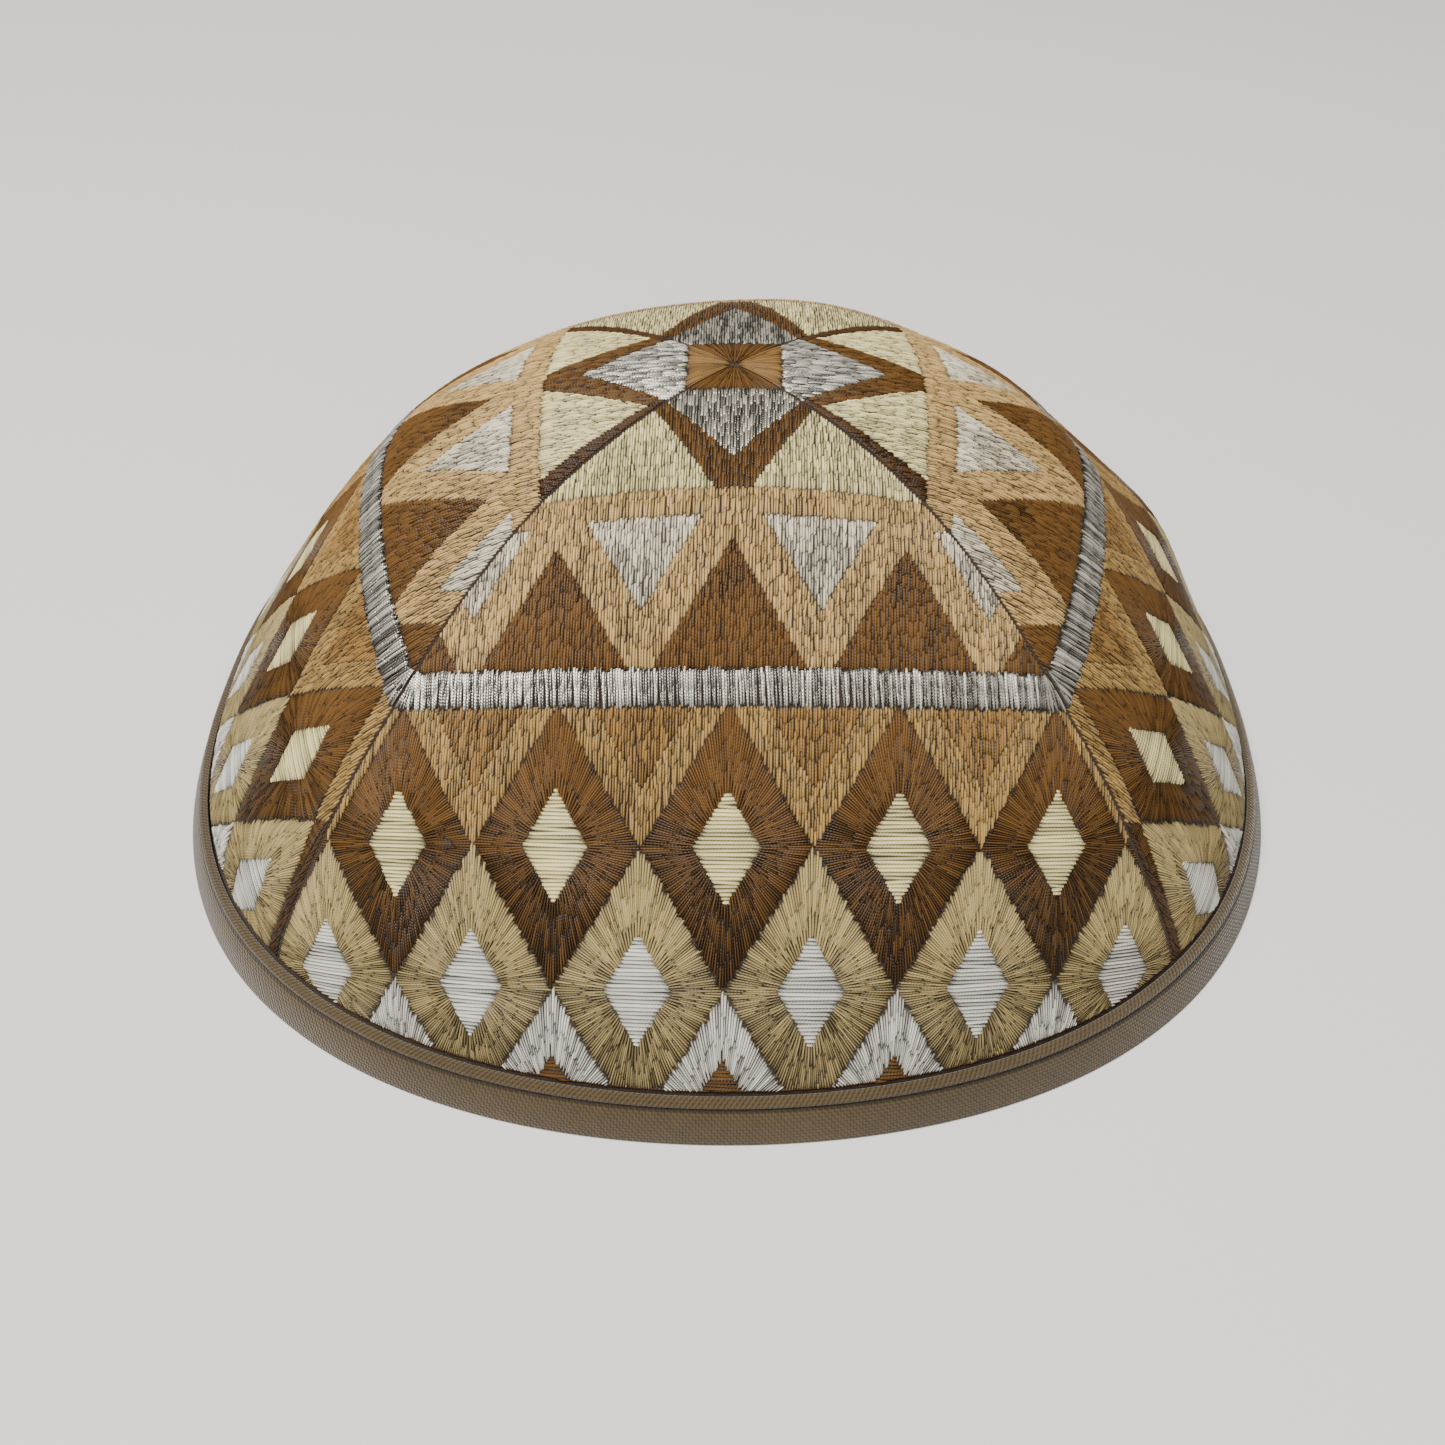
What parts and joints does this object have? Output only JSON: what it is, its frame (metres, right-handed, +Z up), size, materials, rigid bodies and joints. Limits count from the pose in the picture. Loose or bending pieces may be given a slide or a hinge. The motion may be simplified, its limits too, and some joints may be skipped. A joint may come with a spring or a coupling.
{
  "type": "kippah",
  "caption": "Domed skullcap of embroidered cloth panels in a diamond and triangle pattern, with a folded tape binding round its rim.",
  "frame": {"origin": "middle of the rim's underside, on the surface that the kippah stands on", "axes": "+Z up through the crown, -Y out of the front panel, +X out of the right panel"},
  "size_m": [0.1707, 0.1696, 0.0641],
  "materials": {
    "embroidered_cloth": "satin",
    "binding_tape": "matte"
  },
  "bodies": {
    "root": {"crown_panel_front": "embroidered_cloth", "crown_panel_right": "embroidered_cloth", "crown_panel_back": "embroidered_cloth", "crown_panel_left": "embroidered_cloth", "rim_binding": "binding_tape"}
  },
  "joints": []
}
